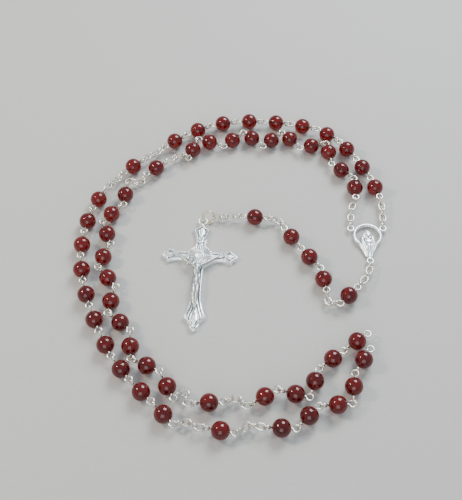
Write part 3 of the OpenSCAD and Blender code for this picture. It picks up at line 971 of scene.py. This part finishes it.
def corpusParts():
    l = corpus["lean"]
    parts = [
        # head bowed to one side, hair to the shoulders, beard, and a wreath of thorns
        ("ball", (-2.05, -2.2, 1.25), (0.98, 1.22, 1.0), 22),
        ("ball", (-1.95, -2.0, 1.0), (1.15, 1.25, 0.95), 22),
        ("limb", [(-2.9, -1.9, 1.2), (-3.1, -2.9, 1.1), (-2.95, -3.7, 1.0)], [0.3, 0.32, 0.22]),
        ("limb", [(-1.0, -2.2, 1.2), (-1.0, -3.2, 1.15), (-1.15, -4.0, 1.1)], [0.3, 0.34, 0.24]),
        ("limb", [(-1.3, -1.5, 1.5), (-0.85, -2.6, 1.3), (-0.8, -3.5, 1.2)], [0.16, 0.17, 0.14]),
        ("limb", [(-2.85, -1.4, 1.4), (-3.25, -2.4, 1.15), (-3.3, -3.3, 1.0)], [0.15, 0.16, 0.12]),
        ("ball", (-2.42, -3.25, 1.5), (0.46, 0.5, 0.42), 22),
        ("ball", (-2.5, -3.55, 1.45), (0.26, 0.34, 0.28), 22),
        ("limb", [(-2.12, -2.1, 2.22), (-2.24, -2.5, 2.36), (-2.27, -2.62, 2.36)], [0.07, 0.1, 0.13]),
        ("limb", [(-2.62, -1.92, 2.02), (-2.34, -1.98, 2.2), (-2.16, -2.08, 2.22)], [0.07, 0.08, 0.06]),
        ("limb", [(-1.52, -2.22, 2.05), (-1.8, -2.1, 2.2), (-2.02, -2.12, 2.22)], [0.07, 0.08, 0.06]),
        ("ball", (-2.5, -2.18, 2.04), (0.14, 0.08, 0.09), 22),
        ("ball", (-1.82, -2.36, 2.08), (0.14, 0.08, 0.09), 22),
        ("ball", (-2.62, -2.55, 1.85), (0.26, 0.32, 0.24), 22),
        ("ball", (-1.9, -2.72, 1.88), (0.28, 0.32, 0.24), 22),
        ("limb", [(-2.58, -2.86, 1.98), (-2.38, -2.9, 2.06), (-2.18, -2.98, 2.0)], [0.06, 0.08, 0.06]),
    ]
    wreath = []
    for k in range(17):
        t = math.radians(8 + 175 * k / 16)
        x, y = 1.08 * math.cos(t), 0.55 * math.sin(t) + 0.35
        wave = 0.09 * (1 if k % 2 else -1)
        c, s = math.cos(math.radians(-20)), math.sin(math.radians(-20))
        wreath.append((-2.0 + x * c + y * s, -2.1 + y * c - x * s + wave, 1.25 + 0.75 * math.sin(t)))
    parts.append(("limb", wreath, [0.14] * 17))
    head = [hung(part, corpus["headDrop"]) for part in parts]
    # arms, hands and fingers
    parts = []
    arms = [
        ([(-2.1, -3.95, 0.95), (-4.4, -2.75, 0.85), (-6.2, -1.35, 0.6), (-7.5, -0.45, 0.42)],
         [0.72, 0.55, 0.5, 0.32], -1),
        ([(1.0, -3.9, 0.95), (3.3, -2.7, 0.85), (5.2, -1.4, 0.6), (6.7, -0.45, 0.42)],
         [0.72, 0.55, 0.5, 0.32], 1),
    ]
    for points, radii, side in arms:
        parts.append(("limb", points, radii))
        hand = Vector((-8.0 if side < 0 else 7.2, -0.05, 0.36))
        parts.append(("ball", tuple(hand), (0.5, 0.36, 0.24), -side * 25))
        for k in range(4):
            tip = (hand.x + side * (0.62 - 0.05 * k), hand.y + 0.38 - 0.22 * k, 0.34)
            knuckle = (hand.x + side * 0.2, hand.y + 0.12 - 0.1 * k, 0.36)
            parts.append(("limb", [knuckle, tip], [0.13, 0.1]))
        thumb = [(hand.x - side * 0.1, hand.y + 0.15, 0.45), (hand.x + side * 0.05, hand.y + 0.5, 0.42)]
        parts.append(("limb", thumb, [0.13, 0.1]))
    # trunk with ribs
    parts += [
        ("limb", [(l, -4.7, 0.85), (l, -6.4, 0.8), (l, -8.7, 0.65), (l, -10.3, 0.75)],
         [1.35, 1.25, 1.0, 1.2]),
        ("limb", [(-2.0, -4.0, 0.9), (0.9, -3.95, 0.9)], [0.62, 0.62]),
        ("ball", (l - 0.62, -4.95, 1.55), (0.78, 0.62, 0.5), 12),
        ("ball", (l + 0.62, -4.95, 1.55), (0.78, 0.62, 0.5), -12),
        ("ball", (l, -8.3, 1.15), (0.72, 1.2, 0.55), 0),
        ("limb", [(l, -5.2, 2.0), (l, -6.0, 1.85)], [0.07, 0.09]),
    ]
    for k in range(4):
        y = -5.9 - 0.5 * k
        rib = [(0.3, y + 0.22, 1.88 - 0.04 * k), (0.85, y, 1.62), (1.18, y - 0.3, 1.15)]
        parts += mirroredAbout(l, rib, [0.09, 0.11, 0.08])
    # loincloth: a roll at the waist, folds down to the knees, a loose end at the hip
    parts += [
        ("limb", [(l - 1.2, -9.7, 0.8), (l - 0.5, -10.05, 1.55),
                  (l + 0.4, -10.0, 1.6), (l + 1.2, -9.6, 0.85)],
         [0.3, 0.36, 0.36, 0.32]),
        ("limb", [(l, -10.6, 0.8), (l + 0.05, -13.0, 0.75)], [1.3, 1.25]),
        ("limb", [(l + 1.15, -9.9, 0.9), (l + 1.35, -11.6, 0.75), (l + 1.25, -13.3, 0.65)],
         [0.36, 0.38, 0.26]),
        ("limb", [(l + 1.0, -10.2, 1.3), (l + 0.1, -11.6, 2.0), (l - 0.9, -12.6, 1.4)],
         [0.13, 0.17, 0.12]),
        ("limb", [(l + 1.1, -10.7, 1.2), (l + 0.3, -12.3, 1.95), (l - 0.6, -13.3, 1.5)],
         [0.13, 0.17, 0.12]),
        ("limb", [(l + 0.5, -10.2, 1.7), (l - 0.3, -10.9, 1.95), (l - 1.1, -11.4, 1.3)],
         [0.12, 0.15, 0.12]),
        ("limb", [(l + 1.2, -11.4, 1.0), (l + 0.8, -13.4, 1.5)], [0.12, 0.14]),
        ("limb", [(l - 1.0, -13.55, 1.0), (l, -13.75, 1.7), (l + 1.0, -13.5, 1.0)], [0.18, 0.2, 0.18]),
    ]
    # legs side by side, knees a little bent, feet crossed
    parts += [
        ("limb", [(l - 0.62, -12.5, 0.8), (l - 0.42, -16.2, 1.15),
                  (l - 0.3, -17.6, 0.95), (l + 0.1, -20.9, 0.6)],
         [0.88, 0.62, 0.58, 0.36]),
        ("limb", [(l + 0.68, -12.5, 0.8), (l + 0.78, -16.2, 1.15),
                  (l + 0.8, -17.6, 0.95), (l + 0.72, -20.9, 0.62)],
         [0.88, 0.62, 0.58, 0.36]),
        ("ball", (l - 0.42, -16.1, 1.55), (0.34, 0.46, 0.32), 0),
        ("ball", (l + 0.78, -16.1, 1.55), (0.34, 0.46, 0.32), 0),
        ("limb", [(l + 0.12, -20.9, 0.62), (l + 0.42, -22.2, 0.95), (l + 0.5, -22.9, 0.75)],
         [0.36, 0.36, 0.24]),
        ("limb", [(l + 0.74, -20.9, 0.6), (l + 0.55, -22.2, 0.5), (l + 0.45, -22.95, 0.4)],
         [0.36, 0.4, 0.28]),
    ]
    return head + [hung(part) for part in parts]


figure = sculpted(
    "corpusFigure", corpusParts(),
    corpus["voxel"], 2, 0.02)
markHollows(figure, 9)
figure.data.materials.append(figureMetal)
moved(figure, crossFrame @ Matrix.Translation((0, 0, corpus["floor"] * mm)))
shown(figure, "crucifix", "corpus", "crucifix_corpus")
print("corpus:", len(figure.data.polygons), "faces")

# rivets: domed heads where the figure is held
rivet = {"radius": 0.5, "height": 0.45, "sunk": 0.2, "voxel": 0.06}
rivetParts = []
for spot in rivetSpots:
    x, y, z = spot / mm
    radii = (rivet["radius"], rivet["radius"], rivet["height"])
    rivetParts.append(("ball", (x, y, z - rivet["sunk"]), radii, 0))
rivets = sculpted("rivetHeads", rivetParts, rivet["voxel"], 1)
markHollows(rivets, 9)
rivets.data.materials.append(figureMetal)
shown(rivets, "crucifix", "rivets", "crucifix_rivets")

for template in [*pinShapes.values(), linkShape, ringShape, beadTemplate]:
    bpy.data.objects.remove(template)
